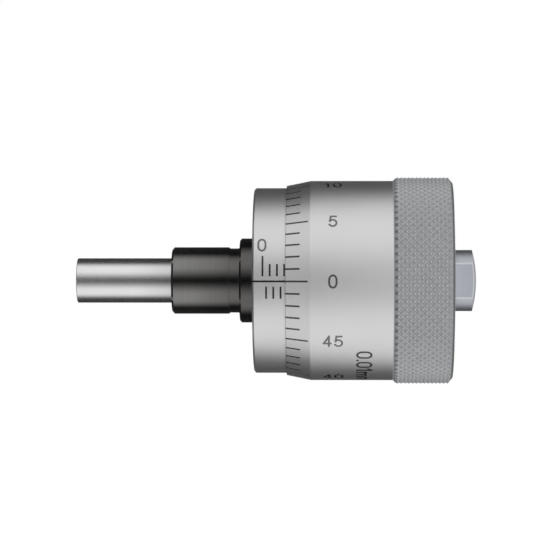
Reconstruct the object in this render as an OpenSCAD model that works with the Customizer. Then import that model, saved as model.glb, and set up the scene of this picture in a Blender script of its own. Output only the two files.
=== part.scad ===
// Micrometer head with a plain clamping stem, a graduated sleeve and a knurled thimble.
// The axis lies along X, the spindle points to -X and the index line faces -Y.
// The origin is on the axis, at the flange's seat face. Sizes are in mm.

/* [Screw] */
// Reading that the head is drawn at
reading = 3; // [0:0.01:10]
// Measuring range
travel = 10; // [6:1:13]
// Travel in one turn of the thimble
pitch = 0.5; // [0.5:0.5:1]
// Rise of the screw thread above the plain spindle
thread_rise = 0.425; // [0.3:0.025:0.6]
// Room round the screw thread
thread_gap = 0.05; // [0.04:0.01:0.1]

/* [Spindle] */
// Diameter of the spindle
spindle_d = 6.35; // [5:0.05:8]
// Length of spindle outside the stem at reading zero
spindle_out = 16.55; // [12:0.05:25]
// Chamfer round the measuring face
face_edge = 0.1; // [0.1:0.05:0.5]
// Room round the spindle in its guide
guide_gap = 0.04; // [0.04:0.01:0.1]
// Length of the taper that carries the thimble
taper_len = 4; // [3:0.5:5]
// Fall of the taper along its length
taper_fall = 0.5; // [0.3:0.1:0.8]

/* [Stem] */
// Wall of the stem round the spindle
stem_wall = 1.575; // [1.2:0.025:3]
// Length of the stem in front of the flange
stem_len = 9.65; // [7:0.05:15]
// Chamfer at the front of the stem
stem_edge = 0.3; // [0.2:0.05:0.6]
// Width of the grinding relief beside the flange
relief_w = 1.6; // [1:0.1:2.5]
// Depth of the grinding relief
relief_depth = 0.17; // [0.16:0.01:0.25]
// Length of the slope that leads into the grinding relief
relief_lead = 0.2; // [0.1:0.05:0.8]
// Rise of the flange above the stem
flange_rise = 1.25; // [0.9:0.05:2]
// Thickness of the flange
flange_t = 2.06; // [1.2:0.02:3]
// Chamfer at the front of the flange
flange_edge = 0.25; // [0.1:0.05:0.4]

/* [Barrel] */
// Wall of the barrel round the screw thread
barrel_wall = 1.55; // [1.2:0.05:2]
// Length of the split end that grips the screw
split_len = 8; // [6:0.5:10]
// Width of the splits
split_w = 0.8; // [0.5:0.1:1]
// Number of splits
splits = 3; // [2:1:4]
// Rise of the adjusting nut above the barrel
nut_rise = 1.8; // [1.4:0.1:2.5]
// Width of the adjusting nut
nut_w = 4.5; // [3:0.5:5.5]
// Fall of the barrel's outside under the adjusting nut
nut_taper = 0.25; // [0.1:0.05:0.4]
// Width of the spanner slots in the adjusting nut
nut_slot_w = 1.5; // [1:0.1:2]

/* [Sleeve] */
// Diameter of the graduated sleeve
sleeve_d = 26.3; // [24:0.1:32]
// Wall of the sleeve
sleeve_wall = 1; // [0.8:0.1:1.6]
// Thickness of the sleeve's front web
sleeve_web = 2; // [1.5:0.1:3]
// Chamfer round the sleeve's front edge
sleeve_edge = 0.25; // [0.1:0.05:0.4]
// Distance from the sleeve's front face to the zero mark
zero_at = 1.48; // [1:0.02:2.5]
// Room between the sleeve and the barrel
sleeve_gap = 0.03; // [0.02:0.01:0.05]

/* [Thimble] */
// Room between the thimble and the sleeve
thimble_gap = 0.1; // [0.08:0.01:0.2]
// Thickness of the thimble's front edge
lip = 0.22; // [0.18:0.01:0.4]
// Length of the bevelled front that carries the divisions
bevel_len = 3.4; // [2.8:0.1:5]
// Rise of the bevelled front
bevel_rise = 0.7; // [0.4:0.05:1.2]
// Length of the thimble in front of the knurled band
plain_len = 15.02; // [13:0.02:20]
// Length of the knurled band with its chamfers
band_len = 8.43; // [7:0.01:12]
// Rise of the knurled band above the plain thimble
band_rise = 0.51; // [0.45:0.01:0.8]
// Chamfer at the rear of the knurled band, along the axis
rear_edge_x = 0.64; // [0.4:0.02:0.9]
// Chamfer at the rear of the knurled band, across the axis
rear_edge_r = 0.8; // [0.5:0.05:1]
// Depth of the knurl
knurl_depth = 0.32; // [0.2:0.01:0.4]
// Distance between the diamonds of the knurl
knurl_pitch = 1.1; // [0.9:0.05:1.6]
// Thickness of the web that sits on the spindle's taper
web_t = 6; // [5.5:0.1:7]
// Wall of the thimble behind the sleeve
grip_wall = 2.6; // [1.6:0.1:4]
// Room between the thimble and the taper
taper_gap = 0.02; // [0.02:0.01:0.04]

/* [Graduation] */
// Number of divisions round the thimble
divisions = 50; // [25:25:50]
// Width of an engraved line
line_w = 0.26; // [0.14:0.01:0.32]
// Depth of an engraved line
line_depth = 0.06; // [0.04:0.01:0.08]
// Length of a thimble line
short_line = 2.05; // [1.5:0.05:2.4]
// Length added to every fifth thimble line
fifth_more = 1.15; // [0.6:0.05:1.3]
// Distance of a sleeve mark from the index line
mark_off = 0.72; // [0.5:0.02:1]
// Length of a sleeve mark
mark_len = 1.68; // [1.2:0.02:2]
// Length added to every fifth millimetre mark
mark_more = 1.1; // [0.6:0.05:1.3]

/* [End nut] */
// Diameter of the end nut
end_d = 8.7; // [8:0.1:10]
// Depth of its two spanner flats
end_flat = 0.75; // [0.5:0.05:1]
// Height of its round side
end_h = 2.82; // [2.4:0.02:3.5]
// Rise of its domed end
dome_h = 0.6; // [0.3:0.02:1]
// Radius of the threaded tail it is screwed on
tail_r = 2.5; // [2.2:0.05:2.7]
// Thickness of the washer under it
washer_t = 1.15; // [0.8:0.05:1.3]
// Width that the washer shows round the nut
washer_show = 1.05; // [0.6:0.05:1.5]
// Room round the washer
washer_gap = 0.06; // [0.05:0.01:0.15]

/* [Hidden] */
$fn = 96;
over = 1;

spindle_r = spindle_d / 2;
thread_r = spindle_r + thread_rise;
guide_r = spindle_r + guide_gap;
thread_bore_r = thread_r + thread_gap;
stem_r = spindle_r + stem_wall;
relief_r = stem_r - relief_depth;
seat_corner = relief_depth + 0.05;
flange_r = stem_r + flange_rise;
barrel_r = thread_bore_r + barrel_wall;
nut_r = barrel_r + nut_rise;

sleeve_r = sleeve_d / 2;
sleeve_bore_r = barrel_r + sleeve_gap;
zero_x = flange_t + zero_at;
edge_show = 0.12;
sleeve_cover = 1;
sleeve_len = zero_at + travel + edge_show + sleeve_cover;

thimble_x = zero_x + edge_show + reading;
thimble_bore_r = sleeve_r + thimble_gap;
front_r = thimble_bore_r + lip;
plain_r = front_r + bevel_rise;
band_r = plain_r + band_rise;
root_r = band_r - knurl_depth;
grip_r = root_r - grip_wall;
bevel_slope = atan(bevel_rise / bevel_len);
thimble_len = plain_len + band_len;
rear_x = thimble_x + thimble_len;
web_x = rear_x - web_t;
sleeve_room = travel + edge_show + sleeve_cover + 0.5;
end_room = 0.6;

barrel_end = zero_x + edge_show + thimble_len - web_t - end_room;
guide_end = flange_t + sleeve_web;
split_x = barrel_end - split_len;
nut_x = barrel_end - nut_w - 0.5;
thread_x = guide_end + reading + 0.5;
tip_x = -stem_len - spindle_out + reading;

taper_r = thread_r - 0.1;
taper_end_r = taper_r - taper_fall;
taper_x = web_x + taper_len;
washer_room = washer_t + washer_gap;
washer_r = end_d / 2 + washer_show;
tail_end = rear_x + end_h - 0.6;
turn = 360 * reading / pitch;
division = 360 / divisions;

knurl_n = round(2 * PI * root_r / knurl_pitch);
knurl_cols = 2 * knurl_n;
knurl_rows = ceil(2 * (band_len + 0.4) / knurl_pitch);
knurl_step = knurl_pitch / 2;
knurl_x = plain_len + 0.12;

// Turns a half profile of [radius, x] points about the X axis.
module turned(points) {
    rotate([0, 90, 0])
        rotate_extrude()
            polygon(points);
}

// Turns what is drawn at reading zero of the thimble to the reading shown.
module at_reading() {
    rotate([turn, 0, 0])
        children();
}

// Ground stem, seat flange and the split barrel that holds the screw, in one piece.
module stem() {
    color([0.06, 0.06, 0.065])
        difference() {
            turned([
                [guide_r + 0.2, -stem_len],
                [stem_r - stem_edge, -stem_len],
                [stem_r, -stem_len + stem_edge],
                [stem_r, -relief_w],
                [relief_r, -relief_w + relief_lead],
                [relief_r, -seat_corner],
                [relief_r + seat_corner, 0],
                [flange_r - flange_edge, 0],
                [flange_r, flange_edge],
                [flange_r, flange_t],
                [barrel_r, flange_t],
                [barrel_r, nut_x],
                [barrel_r - nut_taper, barrel_end],
                [thread_bore_r, barrel_end],
                [thread_bore_r, guide_end],
                [guide_r, guide_end],
                [guide_r, -stem_len + 0.2]
            ]);
            for (i = [0 : splits - 1])
                rotate([360 * i / splits, 0, 0])
                    translate([split_x, -split_w / 2, 0])
                        cube([split_len + over, split_w, barrel_r + over]);
        }
}

// One mark round the sleeve, between two heights above the index line.
module sleeve_mark(x, from, to) {
    a1 = asin(from / sleeve_r);
    a2 = asin(to / sleeve_r);
    translate([x - line_w / 2, 0, 0])
        rotate([0, 90, 0])
            rotate([0, 0, -90 - a2])
                rotate_extrude(angle = a2 - a1)
                    translate([sleeve_r - line_depth, 0])
                        square([line_depth + over, line_w]);
}

// Graduated sleeve: a cup that sits on the barrel against the flange.
module sleeve() {
    color([0.72, 0.73, 0.74])
        difference() {
            turned([
                [sleeve_bore_r, flange_t],
                [sleeve_r - sleeve_edge, flange_t],
                [sleeve_r, flange_t + sleeve_edge],
                [sleeve_r, flange_t + sleeve_len],
                [sleeve_r - sleeve_wall, flange_t + sleeve_len],
                [sleeve_r - sleeve_wall, flange_t + sleeve_web],
                [sleeve_bore_r, flange_t + sleeve_web]
            ]);
            translate([flange_t - over, -sleeve_r - over, -line_w / 2])
                cube([sleeve_len + 2 * over, over + line_depth, line_w]);
            for (i = [0 : travel])
                sleeve_mark(zero_x + i, mark_off, mark_off + mark_len + (i % 5 == 0 ? mark_more : 0));
            for (i = [0 : travel - 1])
                sleeve_mark(zero_x + i + 0.5, -mark_off - mark_len, -mark_off);
        }
}

// Slotted ring nut with a tapered bore that closes the split end on the screw.
module adjusting_nut() {
    color([0.6, 0.61, 0.62])
        difference() {
            turned([
                [barrel_r + sleeve_gap, nut_x],
                [nut_r - 0.3, nut_x],
                [nut_r, nut_x + 0.3],
                [nut_r, nut_x + nut_w - 0.3],
                [nut_r - 0.3, nut_x + nut_w],
                [barrel_r + sleeve_gap - nut_taper * nut_w / (nut_w + 0.5), nut_x + nut_w]
            ]);
            translate([nut_x + nut_w - 1, -nut_r - over, -nut_slot_w / 2])
                cube([1 + over, 2 * (nut_r + over), nut_slot_w]);
        }
}

// Spindle with its measuring face, screw, taper and threaded tail, in one piece.
module spindle() {
    color([0.8, 0.8, 0.81])
        at_reading()
            turned([
                [0, tip_x],
                [spindle_r - face_edge, tip_x],
                [spindle_r, tip_x + face_edge],
                [spindle_r, thread_x - thread_rise],
                [thread_r, thread_x],
                [thread_r, web_x],
                [taper_r, web_x],
                [taper_end_r, taper_x],
                [tail_r, taper_x],
                [tail_r, tail_end - 0.3],
                [tail_r - 0.3, tail_end],
                [0, tail_end]
            ]);
}

// One engraved line on the thimble's bevelled front.
module thimble_line(i) {
    len = short_line + (i % 5 == 0 ? fifth_more : 0);
    rotate([-division * i, 0, 0])
        translate([thimble_x, -front_r, 0])
            rotate([0, 0, -bevel_slope])
                translate([-over, -over, -line_w / 2])
                    cube([over + len, over + line_depth, line_w]);
}

// Cutter for the diamond knurl: a ring whose inside has a ridge over every valley.
module knurl_cutter() {
    far_r = band_r + 1.5;
    grid = [
        for (j = [0 : knurl_rows])
            for (i = [0 : knurl_cols - 1])
                let (a = 360 * i / knurl_cols, r = (i + j) % 2 == 0 ? band_r : root_r)
                    [thimble_x + knurl_x + j * knurl_step, -r * cos(a), r * sin(a)]
    ];
    ends = [
        for (x = [knurl_x, knurl_x + knurl_rows * knurl_step])
            for (i = [0 : knurl_cols - 1])
                let (a = 360 * i / knurl_cols)
                    [thimble_x + x, -far_r * cos(a), far_r * sin(a)]
    ];
    n = knurl_cols;
    first = n * (knurl_rows + 1);
    last = n * knurl_rows;
    inner = [
        for (j = [0 : knurl_rows - 1])
            for (i = [0 : n - 1])
                let (a = n * j + i, b = n * j + (i + 1) % n, c = b + n, d = a + n)
                    each (i + j) % 2 == 0 ? [[d, b, a], [d, c, b]] : [[c, b, a], [d, c, a]]
    ];
    outer = [
        for (i = [0 : n - 1])
            let (k = (i + 1) % n)
                each [
                    [first + n + k, first + n + i, first + i],
                    [first + k, first + n + k, first + i],
                    [first + k, first + i, i],
                    [k, first + k, i],
                    [first + n + k, last + k, last + i],
                    [first + n + i, first + n + k, last + i]
                ]
    ];
    polyhedron(concat(grid, ends), concat(inner, outer));
}

// Thimble: bevelled and divided front, plain body and a knurled band, in one piece.
module thimble() {
    color([0.7, 0.71, 0.72])
        at_reading()
            difference() {
                turned([
                    [thimble_bore_r, thimble_x],
                    [front_r, thimble_x],
                    [plain_r, thimble_x + bevel_len],
                    [plain_r, thimble_x + plain_len],
                    [band_r + 0.1, thimble_x + plain_len + band_rise + 0.1],
                    [band_r + 0.1, rear_x - rear_edge_x * (1 + 0.1 / rear_edge_r)],
                    [band_r - rear_edge_r, rear_x],
                    [washer_r + washer_gap, rear_x],
                    [washer_r + washer_gap, rear_x - washer_room],
                    [tail_r + washer_gap, rear_x - washer_room],
                    [tail_r + washer_gap, taper_x + 0.2],
                    [taper_end_r + taper_gap, taper_x + 0.2],
                    [taper_end_r + taper_gap, taper_x],
                    [taper_r + taper_gap, web_x],
                    [grip_r, web_x],
                    [grip_r, thimble_x + sleeve_room],
                    [thimble_bore_r, thimble_x + sleeve_room]
                ]);
                for (i = [0 : divisions - 1])
                    thimble_line(i);
                knurl_cutter();
            }
}

// Plain washer between the thimble's web and the end nut.
module clamp_washer() {
    color([0.62, 0.63, 0.64])
        turned([
            [tail_r + washer_gap, rear_x - washer_t],
            [washer_r, rear_x - washer_t],
            [washer_r, rear_x - 0.15],
            [washer_r - 0.15, rear_x],
            [tail_r + washer_gap, rear_x]
        ]);
}

// Domed end nut with two spanner flats, screwed on the spindle's tail.
module end_nut() {
    dome_r = (end_d * end_d / 4 + dome_h * dome_h) / (2 * dome_h);
    color([0.6, 0.62, 0.66])
        at_reading()
            difference() {
                translate([rear_x, 0, 0])
                    rotate([0, 90, 0])
                        rotate_extrude()
                            intersection() {
                                square([end_d / 2, end_h + dome_h + over]);
                                translate([0, end_h + dome_h - dome_r])
                                    circle(r = dome_r);
                            }
                for (a = [0, 180])
                    rotate([a, 0, 0])
                        translate([rear_x - over, end_d / 2 - end_flat, -end_d])
                            cube([end_h + dome_h + 3 * over, end_flat + over, 2 * end_d]);
                translate([rear_x - over, 0, 0])
                    rotate([0, 90, 0])
                        cylinder(r = tail_r + 0.03, h = tail_end - rear_x + over + 0.1);
            }
}

stem();
sleeve();
adjusting_nut();
spindle();
thimble();
clamp_washer();
end_nut();
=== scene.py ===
import math
import bpy
import bmesh
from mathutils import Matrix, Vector


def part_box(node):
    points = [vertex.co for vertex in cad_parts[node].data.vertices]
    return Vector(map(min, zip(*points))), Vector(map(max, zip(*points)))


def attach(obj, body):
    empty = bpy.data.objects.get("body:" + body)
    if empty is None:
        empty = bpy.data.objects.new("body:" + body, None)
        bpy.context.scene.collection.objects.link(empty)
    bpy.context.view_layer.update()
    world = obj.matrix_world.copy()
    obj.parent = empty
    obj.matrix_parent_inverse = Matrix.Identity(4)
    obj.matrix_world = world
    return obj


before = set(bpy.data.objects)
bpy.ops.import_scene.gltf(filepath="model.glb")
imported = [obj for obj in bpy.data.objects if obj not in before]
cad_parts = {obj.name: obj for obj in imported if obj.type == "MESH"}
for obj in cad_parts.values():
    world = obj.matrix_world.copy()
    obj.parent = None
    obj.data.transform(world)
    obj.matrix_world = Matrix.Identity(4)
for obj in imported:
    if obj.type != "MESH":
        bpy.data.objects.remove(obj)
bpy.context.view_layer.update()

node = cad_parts
MM = 0.001


# Sizes in millimetres along the spindle axis (X) and from it (R), from the frame where it gives them

def extent(name):
    """Where a CAD node starts and ends along the axis, and its largest radius. A round mesh reaches that
    radius only at its corners, so all four sides are looked at."""
    low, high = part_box(name)
    return low.x / MM, high.x / MM, max(high.y, high.z, -low.y, -low.z) / MM


TIP_X = extent("spindle")[0]
STEM_X, _, FLANGE_R = extent("stem")
SLEEVE_X, SLEEVE_END, SLEEVE_R = extent("sleeve")
FRONT_X, BAND_END, BAND_R = extent("thimble")
_, DOME_TOP, NUT_R = extent("end_nut")
SPINDLE_R = 3.175
RELIEF_X, RELIEF_R = -1.6, 4.58
FRONT_R, PLAIN_R, BEVEL_LEN, PLAIN_LEN = 13.47, 14.17, 3.4, 15.02
BAND_X, KNURL_COUNT = FRONT_X + PLAIN_LEN, 82
DOME_R, FLAT_Y = 16.07, 3.6


# Shader maths

class Wire:
    """One socket of a node tree. Arithmetic on it adds Math nodes."""

    def __init__(self, tree, socket=None):
        self.tree, self.socket = tree, socket

    def add(self, kind, settings=None, values=None, out=0):
        """Any node: its settings are set first, then the values or links of its sockets."""
        made = self.tree.nodes.new(kind)
        for key, value in (settings or {}).items():
            setattr(made, key, value)
        for key, value in (values or {}).items():
            if isinstance(value, Wire):
                self.tree.links.new(value.socket, made.inputs[key])
            else:
                made.inputs[key].default_value = value
        return Wire(self.tree, made.outputs[out])

    def math(self, operation, a, b=0.0):
        return self.add("ShaderNodeMath", {"operation": operation}, {0: a, 1: b})

    def __add__(self, other):
        return self.math("ADD", self, other)

    __radd__ = __add__

    def __sub__(self, other):
        return self.math("SUBTRACT", self, other)

    def __rsub__(self, other):
        return self.math("SUBTRACT", other, self)

    def __mul__(self, other):
        return self.math("MULTIPLY", self, other)

    __rmul__ = __mul__

    def __truediv__(self, other):
        return self.math("DIVIDE", self, other)

    def __rtruediv__(self, other):
        return self.math("DIVIDE", other, self)

    def rise(self, low, high):
        """0 below low, 1 above high, and smooth between."""
        return self.add("ShaderNodeMapRange", {"interpolation_type": "SMOOTHSTEP"},
                        {"Value": self, "From Min": low, "From Max": high})

    def fall(self, low, high):
        """1 below low, 0 above high, and smooth between."""
        return 1.0 - self.rise(low, high)

    def part(self, i):
        """The x, y or z of a vector, by its number."""
        return self.add("ShaderNodeSeparateXYZ", None, {0: self}, i)

    def vector(self, x, y, z):
        return self.add("ShaderNodeCombineXYZ", None, {0: x, 1: y, 2: z})

    # A Mix node has sockets of the same name for each kind of value, so they go by number

    def mix(self, a, b):
        """Colour a where this value is 0, colour b where it is 1."""
        return self.add("ShaderNodeMix", {"data_type": "RGBA"}, {"Factor": self, 6: a, 7: b}, 2)

    def turn_to(self, a, b):
        """Vector a where this value is 0, vector b where it is 1."""
        return self.add("ShaderNodeMix", {"data_type": "VECTOR"}, {"Factor": self, 4: a, 5: b}, 1)

    def tone_down(self, share):
        """This colour times a share."""
        return self.add("ShaderNodeMix", {"data_type": "RGBA", "blend_type": "MULTIPLY"},
                        {"Factor": 1.0, 6: self, 7: grey(share)}, 2)


def grey(value, tint=(1.0, 1.0, 1.0)):
    return (value * tint[0], value * tint[1], value * tint[2], 1.0)


def axes(place):
    """Distance along the spindle axis and from it, both in millimetres."""
    x, y, z = (place.part(i) for i in range(3))
    return x / MM, place.math("SQRT", y * y + z * z) / MM


def around(place):
    """Angle about the spindle axis in radians, zero at the front and growing upwards."""
    return place.math("ARCTAN2", place.part(2), 0.0 - place.part(1))


def noise(place, scale, detail=2.0):
    return place.add("ShaderNodeTexNoise", None, {"Vector": place, "Scale": scale, "Detail": detail})


def turning_lines(x, r, scale, detail=2.0):
    """Fine rings left by turning or grinding: along the axis on round faces, outwards on flat ones."""
    return x.add("ShaderNodeTexNoise", {"noise_dimensions": "1D"},
                 {"W": x + FLAT_LINES * r, "Scale": scale, "Detail": detail})


def bump(height, distance, **more):
    return height.add("ShaderNodeBump", None,
                      {"Strength": BUMP_STRENGTH, "Distance": distance, "Height": height, **more})


def facing(place, out, share):
    """The way a surface faces, turned to the direction out where share is 1."""
    out = place.add("ShaderNodeVectorTransform", {
        "vector_type": "NORMAL", "convert_from": "OBJECT", "convert_to": "WORLD"}, {0: out})
    return share.turn_to(place.add("ShaderNodeNewGeometry", out="Normal"), out)


def material(name, build):
    """A material. build takes the Object coordinates and gives the shader."""
    mat = bpy.data.materials.new(name)
    mat.use_nodes = True
    tree = mat.node_tree
    tree.nodes.clear()
    shader = build(Wire(tree).add("ShaderNodeTexCoord", out="Object"))
    end = tree.nodes.new("ShaderNodeOutputMaterial")
    tree.links.new(shader.socket, end.inputs["Surface"])
    return mat


def metal(name, build):
    """A metal finish. build takes the Object coordinates and gives the sockets that vary."""
    return material(name, lambda place: place.add(
        "ShaderNodeBsdfPrincipled", None, {"Metallic": 1.0, **build(place)}))


# Finishes: their tones, their grain and, as pairs in millimetres, where one tone fades into the next

BUMP_STRENGTH, FLAT_LINES = 0.2, 0.83
CHROME_BUMP, RING_BUMP, GRAIN_BUMP = 1.5e-6, 1e-6, 2e-6
CHROME_GRAIN, CHROME_CLOUD, CHROME_LINES = 5200.0, 150.0, 7.0
CHROME_DULL, CHROME_PALE = grey(0.62, (0.995, 1.0, 1.0)), grey(0.72, (1.0, 1.0, 0.995))


def satin_skin(place, x, r):
    """Colour, roughness and relief of matt chrome plate."""
    grain = noise(place, CHROME_GRAIN, detail=3.0)
    cloud = noise(place, CHROME_CLOUD)
    lines = turning_lines(x, r, CHROME_LINES)
    tone = 0.45 * cloud + 0.35 * grain + 0.20 * lines
    return tone.mix(CHROME_DULL, CHROME_PALE), 0.31 + 0.08 * grain + 0.04 * lines, grain + 0.6 * lines


def sleeve_chrome(place):
    colour, rough, relief = satin_skin(place, *axes(place))
    return {"Base Color": colour, "Roughness": rough, "Normal": bump(relief, CHROME_BUMP)}


# The bevel is painted a little darker as shade, and a thin strip at its front edge much darker as the
# shadow in the gap to the sleeve.
BEVEL_SHADE, FRONT_SHADE = 0.92, 0.68
BEVEL_TO = FRONT_X + BEVEL_LEN - 0.02, FRONT_X + BEVEL_LEN + 0.02
FRONT_TO = FRONT_X + 0.06, FRONT_X + 0.18
BAND_FROM, BAND_TO, BAND_SKIN = (BAND_X - 0.1, BAND_X), (BAND_END - 0.1, BAND_END), (13.9, 14.0)
# The ring where the knurl runs out in front is painted darker as shade, darkest at the ends of the grooves.
CORNER_FROM, CORNER_TO = (BAND_X + 0.08, BAND_X + 0.22), (BAND_X + 0.42, BAND_X + 0.62)
# A rim along the knurl's rear edge is painted dark, as shade by the gap to the end nut.
RIM_FROM = BAND_END - 0.42, BAND_END - 0.18
GROOVE_TO, CREST_FROM = (BAND_R - 0.33, BAND_R - 0.14), (BAND_R - 0.15, BAND_R - 0.06)
# This pair is in cosines, from 1 at the middle of a groove's end to -1 between two of them
GROOVE_END = -0.3, 0.8
KNURL_MOTTLE, KNURL_ROUGH = 700.0, 0.30
KNURL_TINT, CORNER_TINT = (0.98, 1.0, 1.02), (0.98, 1.0, 1.03)
# Painted light on the knurl: pale grooves and crests as highlights, dark flanks as shade.
KNURL_FLANK_SHADE, KNURL_GROOVE_HIGHLIGHT = grey(0.455, (0.985, 1.0, 1.02)), grey(0.62, KNURL_TINT)
KNURL_CREST_HIGHLIGHT, KNURL_RIM_SHADE = grey(0.68, KNURL_TINT), grey(0.25, CORNER_TINT)
CORNER_SHADE_PALE, CORNER_SHADE_DARK = grey(0.50, CORNER_TINT), grey(0.26, CORNER_TINT)


def knurl_tone(place, x, r):
    """Painted highlights on the grooves and crests over painted shade on the flanks, painted shade at the
    ends of the grooves in front and on a rim behind.
    """
    mottle = noise(place, KNURL_MOTTLE, detail=4.0)
    # The grooves take a painted highlight, mottled by noise, over the painted shade of the flanks.
    flank = (r.fall(*GROOVE_TO) * (0.7 + 0.5 * mottle)).mix(KNURL_FLANK_SHADE, KNURL_GROOVE_HIGHLIGHT)
    # The rear edge gets a dark rim: painted shade.
    diamonds = x.rise(*RIM_FROM).mix(r.rise(*CREST_FROM).mix(flank, KNURL_CREST_HIGHLIGHT), KNURL_RIM_SHADE)
    # Painted shade at the front: dark dashes at the grooves' ends on a darkened ring.
    groove_end = place.math("COSINE", KNURL_COUNT * around(place) + math.pi).rise(*GROOVE_END)
    corner = x.rise(*CORNER_FROM) * x.fall(*CORNER_TO)
    return corner.mix(diamonds, groove_end.mix(CORNER_SHADE_PALE, CORNER_SHADE_DARK))


def thimble_chrome(place):
    x, r = axes(place)
    colour, rough, relief = satin_skin(place, x, r)
    # Painted shade on the bevel, then a painted shadow line at its front edge.
    bevelled = x.fall(*BEVEL_TO).mix(colour, colour.tone_down(BEVEL_SHADE))
    plain = x.fall(*FRONT_TO).mix(bevelled, colour.tone_down(FRONT_SHADE))
    band = x.rise(*BAND_FROM) * x.fall(*BAND_TO) * r.rise(*BAND_SKIN)
    return {
        "Base Color": band.mix(plain, knurl_tone(place, x, r)),
        "Roughness": rough + KNURL_ROUGH * band,
        "Normal": bump(relief, CHROME_BUMP),
    }


EDGE_TO, EDGE_SKIN = (TIP_X + 0.09, TIP_X + 0.12), (SPINDLE_R - 0.12, SPINDLE_R - 0.09)
# Towards the stem the steel is painted darker, as shade and the stem's dark reflection.
STEM_SHADE_FROM = -16.0, -9.0
SPINDLE_LINES, SPINDLE_CLOUD = 6.0, 240.0
SPINDLE_DULL, SPINDLE_PALE, SPINDLE_SHADED, SPINDLE_EDGE_GLINT = grey(0.71), grey(0.79), grey(0.61), grey(0.95)


def ground_steel(place):
    """Ground steel, with a painted highlight on the front edge and painted shade towards the stem."""
    x, r = axes(place)
    lines = turning_lines(x, r, SPINDLE_LINES, detail=3.0)
    steel_tone = noise(place, SPINDLE_CLOUD).mix(SPINDLE_DULL, SPINDLE_PALE)
    # A painted highlight on the front edge's chamfer.
    edge = x.fall(*EDGE_TO) * r.rise(*EDGE_SKIN)
    return {
        "Base Color": edge.mix(x.rise(*STEM_SHADE_FROM).mix(steel_tone, SPINDLE_SHADED), SPINDLE_EDGE_GLINT),
        "Roughness": 0.18 + 0.10 * lines + 0.25 * edge,
        "Normal": bump(lines, RING_BUMP),
    }


# The front of the stem is paler with wear; the fade to black towards the flange is painted shade.
WEAR_AND_SHADE_TO = STEM_X + 0.25, 1.0
STEM_SKIN, LIP_SKIN = (RELIEF_R - 0.08, RELIEF_R - 0.03), (FLANGE_R - 0.30, FLANGE_R - 0.25)
SHOULDER_FROM, SHOULDER_TO = (RELIEF_X - 0.02, RELIEF_X + 0.02), (RELIEF_X + 0.18, RELIEF_X + 0.22)
SEAT_FROM, SEAT_TO = (-0.24, -0.20), (-0.02, 0.0)
LIP_FROM, LIP_TO = (0.0, 0.02), (0.23, 0.27)
# The first share darkens the relief's shoulder as painted shade.
SHOULDER_SHADE, LIP_ROUNDING = 0.85, 0.2
STEM_LINES, STEM_CLOUD = 5.0, 420.0
OXIDE_BLACK, OXIDE_PALE = grey(0.105, (1.03, 1.0, 0.98)), grey(0.205, (1.01, 1.0, 0.97))


def black_oxide(place):
    """Black oxide, worn pale and mottled at the front end, with painted shade darkening it towards the
    flange. The small corners by the flange are shaded as round, and the relief's shoulder has painted
    shade.
    """
    x, r = axes(place)
    lines = turning_lines(x, r, STEM_LINES)
    cloud = noise(place, STEM_CLOUD, detail=4.0)
    wear_and_shade = x.fall(*WEAR_AND_SHADE_TO) * (0.35 + 0.5 * cloud + 0.8 * lines)
    black = wear_and_shade.mix(OXIDE_BLACK, OXIDE_PALE)
    skin = r.rise(*STEM_SKIN)
    shoulder = x.rise(*SHOULDER_FROM) * x.fall(*SHOULDER_TO) * skin
    seat = x.rise(*SEAT_FROM) * x.fall(*SEAT_TO) * skin
    lip = x.rise(*LIP_FROM) * x.fall(*LIP_TO) * r.rise(*LIP_SKIN)
    outwards = place.vector(0.0, place.part(1), place.part(2))
    rounded = facing(place, outwards, shoulder + seat + LIP_ROUNDING * lip)
    return {
        # Painted shade on the relief's shoulder.
        "Base Color": shoulder.mix(black, black.tone_down(SHOULDER_SHADE)),
        "Roughness": 0.05 + 0.10 * cloud,
        "Normal": bump(lines, RING_BUMP, Normal=rounded),
    }


DOME_CENTRE = DOME_TOP - DOME_R
DOME_FROM, DOME_MIDDLE = (DOME_TOP - 0.2, DOME_TOP - 0.15), (0.78, 0.88)
NUT_FROM, FLAT_FROM = (BAND_END + 0.19, BAND_END + 0.29), (FLAT_Y - 0.12, FLAT_Y - 0.03)
LONG_EDGE, END_EDGE, LONG_SHARE = (NUT_R - 0.10, NUT_R - 0.03), (-0.15, -0.06), 0.55
STEEL_GRAIN, STEEL_TINT = 3000.0, (0.95, 0.98, 1.07)
STEEL_DULL, STEEL_PALE = grey(0.48, STEEL_TINT), grey(0.57, STEEL_TINT)
# The edges of the flats take a painted highlight.
STEEL_GLINT = grey(0.84, (0.97, 0.99, 1.03))


def dome_facing(place):
    """The way a surface faces. Round the middle of the end nut's dome it comes from the dome's radius."""
    x, r = axes(place)
    out = place.add("ShaderNodeVectorMath", {"operation": "SUBTRACT"},
                    {0: place, 1: (DOME_CENTRE * MM, 0.0, 0.0)})
    return facing(place, out, x.rise(*DOME_FROM) * r.fall(*DOME_MIDDLE))


def rubbed_edges(place):
    """Edges of the end nut's two flats, where a painted highlight runs along them."""
    x, r = axes(place)
    away = place.math("ABSOLUTE", place.part(1)) / MM
    crown = DOME_CENTRE + place.math("SQRT", DOME_R * DOME_R - r * r)
    edges = place.math("MAXIMUM", LONG_SHARE * r.rise(*LONG_EDGE), (x - crown).rise(*END_EDGE))
    return x.rise(*NUT_FROM) * away.rise(*FLAT_FROM) * edges


def turned_steel(place):
    grain = noise(place, STEEL_GRAIN, detail=3.0)
    return {
        # A painted highlight along the flats' edges.
        "Base Color": rubbed_edges(place).mix(grain.mix(STEEL_DULL, STEEL_PALE), STEEL_GLINT),
        "Roughness": 0.36 + 0.08 * grain,
        "Normal": bump(grain, GRAIN_BUMP, Normal=dome_facing(place)),
    }


INK_CLOUD, INK_TINT = 3500.0, (0.97, 1.0, 1.05)


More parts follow.
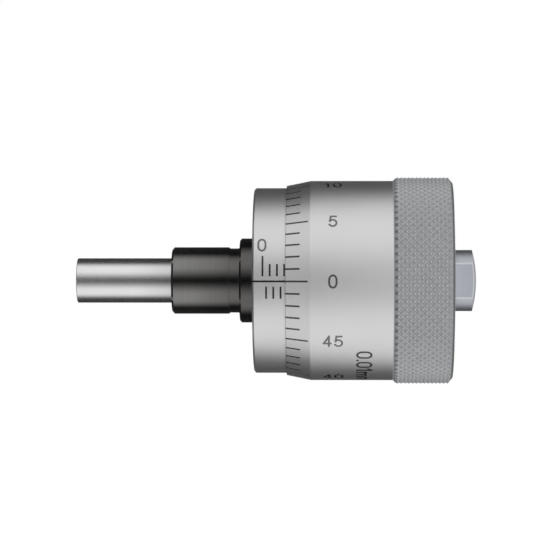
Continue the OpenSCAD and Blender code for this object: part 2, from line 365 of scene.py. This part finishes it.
def ink(dark, pale, rough):
    """A glossy ink between two tones."""
    def build(place):
        cloud = noise(place, INK_CLOUD)
        return {
            "Base Color": cloud.mix(grey(dark, INK_TINT), grey(pale, INK_TINT)),
            "Roughness": rough + 0.10 * cloud,
        }
    return build


LINE_INK = metal("line_ink", ink(dark=0.055, pale=0.095, rough=0.16))
NUMERAL_INK = metal("numeral_ink", ink(dark=0.13, pale=0.19, rough=0.14))
SLEEVE_CHROME = metal("sleeve_chrome", sleeve_chrome)
THIMBLE_CHROME = metal("thimble_chrome", thimble_chrome)
GROUND_STEEL = metal("ground_steel", ground_steel)
BLACK_OXIDE = metal("black_oxide", black_oxide)
TURNED_STEEL = metal("turned_steel", turned_steel)

for name, mat in (("stem", BLACK_OXIDE), ("sleeve", SLEEVE_CHROME), ("adjusting_nut", TURNED_STEEL),
                  ("spindle", GROUND_STEEL), ("thimble", THIMBLE_CHROME), ("clamp_washer", TURNED_STEEL),
                  ("end_nut", TURNED_STEEL)):
    node[name].data.materials.clear()
    node[name].data.materials.append(mat)


# Engraving: lines and marks grown by Geometry Nodes, numerals drawn as strokes

FLOAT, INT = "NodeSocketFloat", "NodeSocketInt"


def node_tree(name, sizes):
    """A Geometry Nodes group with named inputs, and the wires of those inputs."""
    tree = bpy.data.node_groups.new(name, "GeometryNodeTree")
    for label, kind in sizes.items():
        tree.interface.new_socket(label, in_out="INPUT", socket_type=kind)
    tree.interface.new_socket("Geometry", in_out="OUTPUT", socket_type="NodeSocketGeometry")
    entry = tree.nodes.new("NodeGroupInput")
    return tree, {label: Wire(tree, entry.outputs[label]) for label in sizes}


def close_tree(tree, grown, mat):
    """Ends a group in Realize Instances and Set Material."""
    real = grown.add("GeometryNodeRealizeInstances", None, {0: grown})
    inked = real.add("GeometryNodeSetMaterial", None, {"Geometry": real, "Material": mat})
    exit_node = tree.nodes.new("NodeGroupOutput")
    tree.links.new(inked.socket, exit_node.inputs[0])
    return tree


def division_lines():
    """Bars side by side round a cone, every Fifth one longer by More."""
    tree, size = node_tree("division_lines", {
        "Count": INT, "Fifth": INT, "Width": FLOAT, "Depth": FLOAT, "Short": FLOAT, "More": FLOAT,
        "Front": FLOAT, "Radius": FLOAT, "Slope": FLOAT})
    start = Wire(tree)
    index = start.add("GeometryNodeInputIndex")
    spots = start.add("GeometryNodePoints", None, {
        "Count": size["Count"], "Position": start.vector(size["Front"], 0.0, size["Radius"])})
    bar = start.add("GeometryNodeMeshCube", None, {
        "Size": start.vector(1.0, size["Width"], size["Depth"])})
    bar = start.add("GeometryNodeTransform", None, {
        "Geometry": bar, "Translation": start.vector(0.5, 0.0, -0.5 * size["Depth"])})
    fifth = start.math("LESS_THAN", start.math("MODULO", index, size["Fifth"]), 0.5)
    lines = start.add("GeometryNodeInstanceOnPoints", None, {
        "Points": spots, "Instance": bar, "Rotation": start.vector(0.0, 0.0 - size["Slope"], 0.0),
        "Scale": start.vector(size["Short"] + fifth * size["More"], 1.0, 1.0)})
    turn = math.pi / 2 - index * (2 * math.pi) / size["Count"]
    lines = start.add("GeometryNodeRotateInstances", None, {
        "Instances": lines, "Rotation": start.vector(turn, 0.0, 0.0), "Local Space": False})
    return close_tree(tree, lines, LINE_INK)


def round_marks():
    """Bars one behind the other along a cylinder, each bent round it between two angles."""
    tree, size = node_tree("round_marks", {
        "Count": INT, "Start": FLOAT, "Spacing": FLOAT, "From": FLOAT, "To": FLOAT, "Radius": FLOAT,
        "Width": FLOAT, "Depth": FLOAT})
    start = Wire(tree)
    bar = start.add("GeometryNodeMeshCube", None, {
        "Size": start.vector(size["Width"], 1.0, size["Depth"]),
        "Vertices X": 2, "Vertices Y": 9, "Vertices Z": 2})
    at = start.add("GeometryNodeInputPosition")
    along, share, lift = (at.part(i) for i in range(3))
    turn = size["From"] + (share + 0.5) * (size["To"] - size["From"])
    reach = size["Radius"] + lift - 0.5 * size["Depth"]
    bar = start.add("GeometryNodeSetPosition", None, {
        "Geometry": bar, "Position": start.vector(
            along, start.math("COSINE", turn) * reach * -1.0, start.math("SINE", turn) * reach)})
    spots = start.add("GeometryNodeMeshLine", None, {
        "Count": size["Count"], "Start Location": start.vector(size["Start"], 0.0, 0.0),
        "Offset": start.vector(size["Spacing"], 0.0, 0.0)})
    marks = start.add("GeometryNodeInstanceOnPoints", None, {"Points": spots, "Instance": bar})
    return close_tree(tree, marks, LINE_INK)


def grow(name, tree, sizes):
    """The plain mesh that a group makes with these sizes."""
    seed = bpy.data.objects.new(name, bpy.data.meshes.new(name))
    bpy.context.scene.collection.objects.link(seed)
    modifier = seed.modifiers.new("grow", "NODES")
    modifier.node_group = tree
    for label, value in sizes.items():
        modifier[tree.interface.items_tree[label].identifier] = value
    bpy.context.view_layer.update()
    made = bpy.data.meshes.new_from_object(seed.evaluated_get(bpy.context.evaluated_depsgraph_get()))
    seed.modifiers.remove(modifier)
    bpy.data.objects.remove(seed)
    return made


def join(name, meshes, body, mat):
    """Several meshes as one piece of one ink that rides on a body."""
    whole = bmesh.new()
    for mesh in meshes:
        whole.from_mesh(mesh)
    for face in whole.faces:
        face.material_index = 0
    mesh = bpy.data.meshes.new(name)
    whole.to_mesh(mesh)
    whole.free()
    mesh.materials.append(mat)
    made = bpy.data.objects.new(name, mesh)
    bpy.context.scene.collection.objects.link(made)
    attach(made, body)


def arc(cx, cy, rx, ry, a0, a1, n=18):
    """Points of an arc between two angles in degrees."""
    turns = [math.radians(a0 + (a1 - a0) * i / n) for i in range(n + 1)]
    return [(cx + rx * math.cos(t), cy + ry * math.sin(t)) for t in turns]


def line(*ends, n=8):
    """Points along straight runs, close enough to follow a round surface."""
    points = [ends[0]]
    for (x0, y0), (x1, y1) in zip(ends, ends[1:]):
        points += [(x0 + (x1 - x0) * i / n, y0 + (y1 - y0) * i / n) for i in range(1, n + 1)]
    return points


def hump(left, right):
    """One arch of the letter m, down to the line it stands on."""
    middle, half = (left + right) / 2, (right - left) / 2
    return arc(middle, 0.40, half, 0.22, 180, 0, 10) + line((right, 0.40), (right, 0.0))[1:]


# Each sign: its width, then the middle lines of its strokes, in a box one unit high
SIGNS = {
    "0": (0.60, [arc(0.30, 0.64, 0.30, 0.36, 0, 180) + arc(0.30, 0.36, 0.30, 0.36, 180, 360)
                 + [(0.60, 0.64)]]),
    "1": (0.30, [line((0.02, 0.78), (0.20, 1.0)), line((0.20, 1.0), (0.20, 0.0))]),
    "2": (0.60, [arc(0.30, 0.70, 0.28, 0.30, 165, -38) + line((0.52, 0.515), (0.0, 0.0))[1:],
                 line((0.0, 0.0), (0.60, 0.0))]),
    "3": (0.60, [arc(0.28, 0.745, 0.26, 0.255, 150, -90), arc(0.28, 0.25, 0.31, 0.25, 90, -150)]),
    "4": (0.57, [line((0.43, 0.0), (0.43, 1.0)), line((0.43, 1.0), (0.0, 0.28)),
                 line((0.0, 0.28), (0.57, 0.28))]),
    "5": (0.60, [line((0.54, 1.0), (0.11, 1.0)), line((0.11, 1.0), (0.05, 0.50)),
                 arc(0.28, 0.32, 0.31, 0.32, 138, -150)]),
    ".": (0.04, [line((0.02, 0.0), (0.02, 0.04), n=1)]),
    "m": (0.80, [line((0.0, 0.0), (0.0, 0.62)), hump(0.0, 0.40), hump(0.40, 0.80)]),
}
PEN, PROUD, BURIED = 0.27, 0.012, 0.03


def stroke_bar(points, pen, place):
    """Corners and faces of a closed bar along a stroke, which may be a loop."""
    loop = points[0] == points[-1]
    if loop:
        points = points[:-1]
    count = len(points)
    verts, faces = [], []
    for i, point in enumerate(points):
        before = points[i - 1] if i or loop else point
        after = points[(i + 1) % count] if i + 1 < count or loop else point
        run = (after - before).normalized()
        if not loop:
            point = point + run * pen / 2 * ((i + 1 == count) - (i == 0))
        side = Vector((-run.y, run.x)) * pen / 2
        verts += [place(point + side, PROUD), place(point - side, PROUD),
                  place(point - side, -BURIED), place(point + side, -BURIED)]
    for i in range(count if loop else count - 1):
        a, b = 4 * i, 4 * ((i + 1) % count)
        faces += [(a + j, a + (j + 1) % 4, b + (j + 1) % 4, b + j) for j in range(4)]
    if not loop:
        last = 4 * (count - 1)
        faces += [(3, 2, 1, 0), (last, last + 1, last + 2, last + 3)]
    return verts, faces


def drawn(text, height, gap, place, pen=PEN):
    """The strokes of text as closed bars. Height is over the strokes and gap between signs, in millimetres.
    place turns a point of the flat text, measured from its middle, and a lift into a point in metres."""
    tall = height - pen
    gap = (gap + pen) / tall
    wide = sum(SIGNS[sign][0] for sign in text) + gap * (len(text) - 1)
    verts, faces, left = [], [], -wide / 2
    for sign in text:
        width, strokes = SIGNS[sign]
        for stroke in strokes:
            points = [Vector((left + x, y - 0.5)) * tall for x, y in stroke]
            bar_verts, bar_faces = stroke_bar(points, pen, place)
            faces += [tuple(len(verts) + i for i in face) for face in bar_faces]
            verts += bar_verts
        left += width + gap
    mesh = bpy.data.meshes.new("strokes")
    mesh.from_pydata(verts, [], faces)
    return mesh


def round_place(x, turn, radius, upright=True):
    """Places flat text on a cylinder round X: upright along X, or turned to read round it."""
    def place(point, lift):
        along, up = (point.x, point.y) if upright else (point.y, -point.x)
        a, reach = turn + up / radius, radius + lift
        return Vector((x + along, -reach * math.cos(a), reach * math.sin(a))) * MM
    return place


LINE_W, LINE_SUNK, LINE_DEPTH = 0.28, 0.03, 0.03
ZERO_X, INDEX_GAP = 3.54, 0.03
INDEX_MIDDLE, INDEX_LEN = (SLEEVE_X + SLEEVE_END) / 2, SLEEVE_END - SLEEVE_X - 2 * INDEX_GAP
MARK_LOW, MARK_HIGH, MARK_FIFTH = 0.72, 2.40, 3.50
DIVISIONS, FIFTH, DIVISION_LEN, DIVISION_MORE = 50, 5, 2.05, 1.15
NUMERAL_UP, NUMERAL_BACK = 5.15, 0.1
NUMBER_X, UNIT_X, UNIT_TURN = FRONT_X + 6.6, FRONT_X + 10.95, math.radians(-61.9)
ROUND_MARKS, DIVISION_LINES = round_marks(), division_lines()


def sleeve_marks(first, spacing, count, low, high, width=LINE_W):
    """Marks on the sleeve from a first place past zero, between two heights from the index line."""
    return grow("marks", ROUND_MARKS, {
        "Count": count, "Start": (ZERO_X + first) * MM, "Spacing": spacing * MM, "Width": width * MM,
        "From": math.asin(low / SLEEVE_R), "To": math.asin(high / SLEEVE_R),
        "Radius": (SLEEVE_R - LINE_SUNK) * MM, "Depth": LINE_DEPTH * MM})


join("sleeve_scale_ink", [
    sleeve_marks(INDEX_MIDDLE - ZERO_X, 0, 1, low=-LINE_W / 2, high=LINE_W / 2, width=INDEX_LEN),
    sleeve_marks(first=0, spacing=5, count=3, low=MARK_LOW, high=MARK_FIFTH),
    sleeve_marks(first=1, spacing=1, count=4, low=MARK_LOW, high=MARK_HIGH),
    sleeve_marks(first=6, spacing=1, count=4, low=MARK_LOW, high=MARK_HIGH),
    sleeve_marks(first=0.5, spacing=1, count=10, low=-MARK_HIGH, high=-MARK_LOW),
], "fixed", LINE_INK)
join("sleeve_numerals", [
    drawn(str(at), height=1.92, gap=0.38,
          place=round_place(ZERO_X + at - NUMERAL_BACK, NUMERAL_UP / SLEEVE_R, SLEEVE_R))
    for at in (0, 5, 10)], "fixed", NUMERAL_INK)

join("thimble_division_ink", [grow("divisions", DIVISION_LINES, {
    "Count": DIVISIONS, "Fifth": FIFTH, "Width": LINE_W * MM, "Depth": LINE_DEPTH * MM,
    "Short": DIVISION_LEN * MM, "More": DIVISION_MORE * MM, "Front": FRONT_X * MM,
    "Radius": (FRONT_R - LINE_SUNK) * MM, "Slope": math.atan((PLAIN_R - FRONT_R) / BEVEL_LEN),
})], "screw", LINE_INK)
join("thimble_numerals", [
    drawn(str(at), height=1.95, gap=0.34,
          place=round_place(NUMBER_X, 2 * math.pi * at / DIVISIONS, PLAIN_R))
    for at in range(0, DIVISIONS, FIFTH)], "screw", NUMERAL_INK)
join("thimble_unit", [
    drawn("0.01mm", height=2.3, gap=0.20, pen=0.30,
          place=round_place(UNIT_X, UNIT_TURN, PLAIN_R, upright=False))], "screw", LINE_INK)


# Stage, in metres: a white floor and world, dark cards for the metal to reflect, and the camera

FLOOR_Z, FLOOR_HALF = -0.26, 9.0
WHITE = grey(1.0)


def stage_piece(name, verts, faces, mat):
    mesh = bpy.data.meshes.new(name)
    mesh.from_pydata(verts, [], faces)
    mesh.materials.append(mat)
    made = bpy.data.objects.new(name, mesh)
    bpy.context.scene.collection.objects.link(made)
    return made


stage_piece(
    "floor",
    [(FLOOR_HALF * x, FLOOR_HALF * y, FLOOR_Z) for x, y in ((-1, -1), (1, -1), (1, 1), (-1, 1))],
    [(0, 1, 2, 3)],
    material("floor_paper", lambda place: place.add("ShaderNodeBsdfPrincipled", None, {
        "Base Color": WHITE, "Roughness": 0.9, "Specular IOR Level": 0.0})))


def card(name, verts, faces, tone, clear):
    """A dark card that only reflections see. clear takes Object coordinates and gives where it is open."""
    made = stage_piece(name, verts, faces, material(name, lambda place: place.add(
        "ShaderNodeMixShader", None, {
            0: clear(place),
            1: place.add("ShaderNodeBsdfDiffuse", None, {"Color": grey(tone)}),
            2: place.add("ShaderNodeBsdfTransparent")})))
    made.visible_camera = made.visible_diffuse = made.visible_shadow = made.visible_transmission = False


TUNNEL_X, TUNNEL_R, TUNNEL_SIDES, TUNNEL_TONE = (-0.30, 0.33), 0.22, 96, 0.05
END_TONES, END_CLEAR = (0.06, 0.24), (0.16, TUNNEL_R)
# Soft edges round the tunnel, in degrees from its front
FRONT_FLAG, BACK_FLAG, BACK_SHIFT = (1.0, 50.0), (69.0, 109.0), 18.0
BACK_WINDOW, RIGHT_WINDOW = (158.0, 177.0), (110.0, 140.0)
# Soft edges along the tunnel
FLAG_LEFT, FLAG_RIGHT, BACK_RIGHT = (-0.09, -0.065), (0.008, 0.024), (-0.003, 0.015)
LEFT_FADE, RIGHT_FADE = (-0.26, -0.14), (0.24, 0.31)
# How far the tunnel is open past the front flag's ends and in the back window
FLAG_GLOW, BACK_GLOW = 0.97, 0.6


def tunnel_clear(place):
    """Where spindle, stem and sleeve mirror it, the tunnel has a front flag and a longer back flag."""
    x = place.part(0)
    turn = place.math("ABSOLUTE", around(place)) * math.degrees(1.0)
    left = x.fall(*FLAG_LEFT)
    front = turn.rise(*FRONT_FLAG)
    front = front + FLAG_GLOW * (left + x.rise(*FLAG_RIGHT)) * (1.0 - front)
    back = (turn - BACK_SHIFT * (left + x.rise(*BACK_RIGHT))).fall(*BACK_FLAG)
    lit = front * back * x.rise(*LEFT_FADE) + BACK_GLOW * turn.rise(*BACK_WINDOW)
    return lit + x.rise(*RIGHT_FADE) * turn.rise(*RIGHT_WINDOW) * (1.0 - lit)


def end_clear(place):
    """The cards at the tunnel's ends are dark in the middle."""
    y, z = place.part(1), place.part(2)
    return place.math("SQRT", y * y + z * z).rise(*END_CLEAR)


def circle(x):
    """Corners of the tunnel's outline at x."""
    turns = [2 * math.pi * i / TUNNEL_SIDES for i in range(TUNNEL_SIDES)]
    return [(x, -TUNNEL_R * math.cos(a), TUNNEL_R * math.sin(a)) for a in turns]


card("flag_tunnel", circle(TUNNEL_X[0]) + circle(TUNNEL_X[1]), [
    (i, (i + 1) % TUNNEL_SIDES, TUNNEL_SIDES + (i + 1) % TUNNEL_SIDES, TUNNEL_SIDES + i)
    for i in range(TUNNEL_SIDES)], TUNNEL_TONE, tunnel_clear)
for name, x, tone in zip(("flag_left", "flag_right"), TUNNEL_X, END_TONES):
    card(name, circle(x), [tuple(range(TUNNEL_SIDES))], tone, end_clear)

world = bpy.data.worlds.new("white_tent")
bpy.context.scene.world = world
world.use_nodes = True
world.node_tree.nodes["Background"].inputs["Color"].default_value = WHITE
world.node_tree.nodes["Background"].inputs["Strength"].default_value = 1.0

CAMERA_AT, CAMERA_AIM = Vector((0.0156, -0.400, 0.0039)), Vector((0.00564, 0.0, 0.00007))
SENSOR, LENS = 36.0, 180.5
cam_data = bpy.data.cameras.new("camera")
cam = bpy.data.objects.new("camera", cam_data)
bpy.context.scene.collection.objects.link(cam)
bpy.context.scene.camera = cam
cam_data.sensor_width, cam_data.lens = SENSOR, LENS
cam_data.clip_start, cam_data.clip_end = 0.01, 20
cam.location = CAMERA_AT
cam.rotation_mode = "QUATERNION"
cam.rotation_quaternion = (CAMERA_AIM - CAMERA_AT).to_track_quat("-Z", "Y")

bpy.context.scene.view_settings.view_transform = "Standard"

bpy.context.view_layer.update()
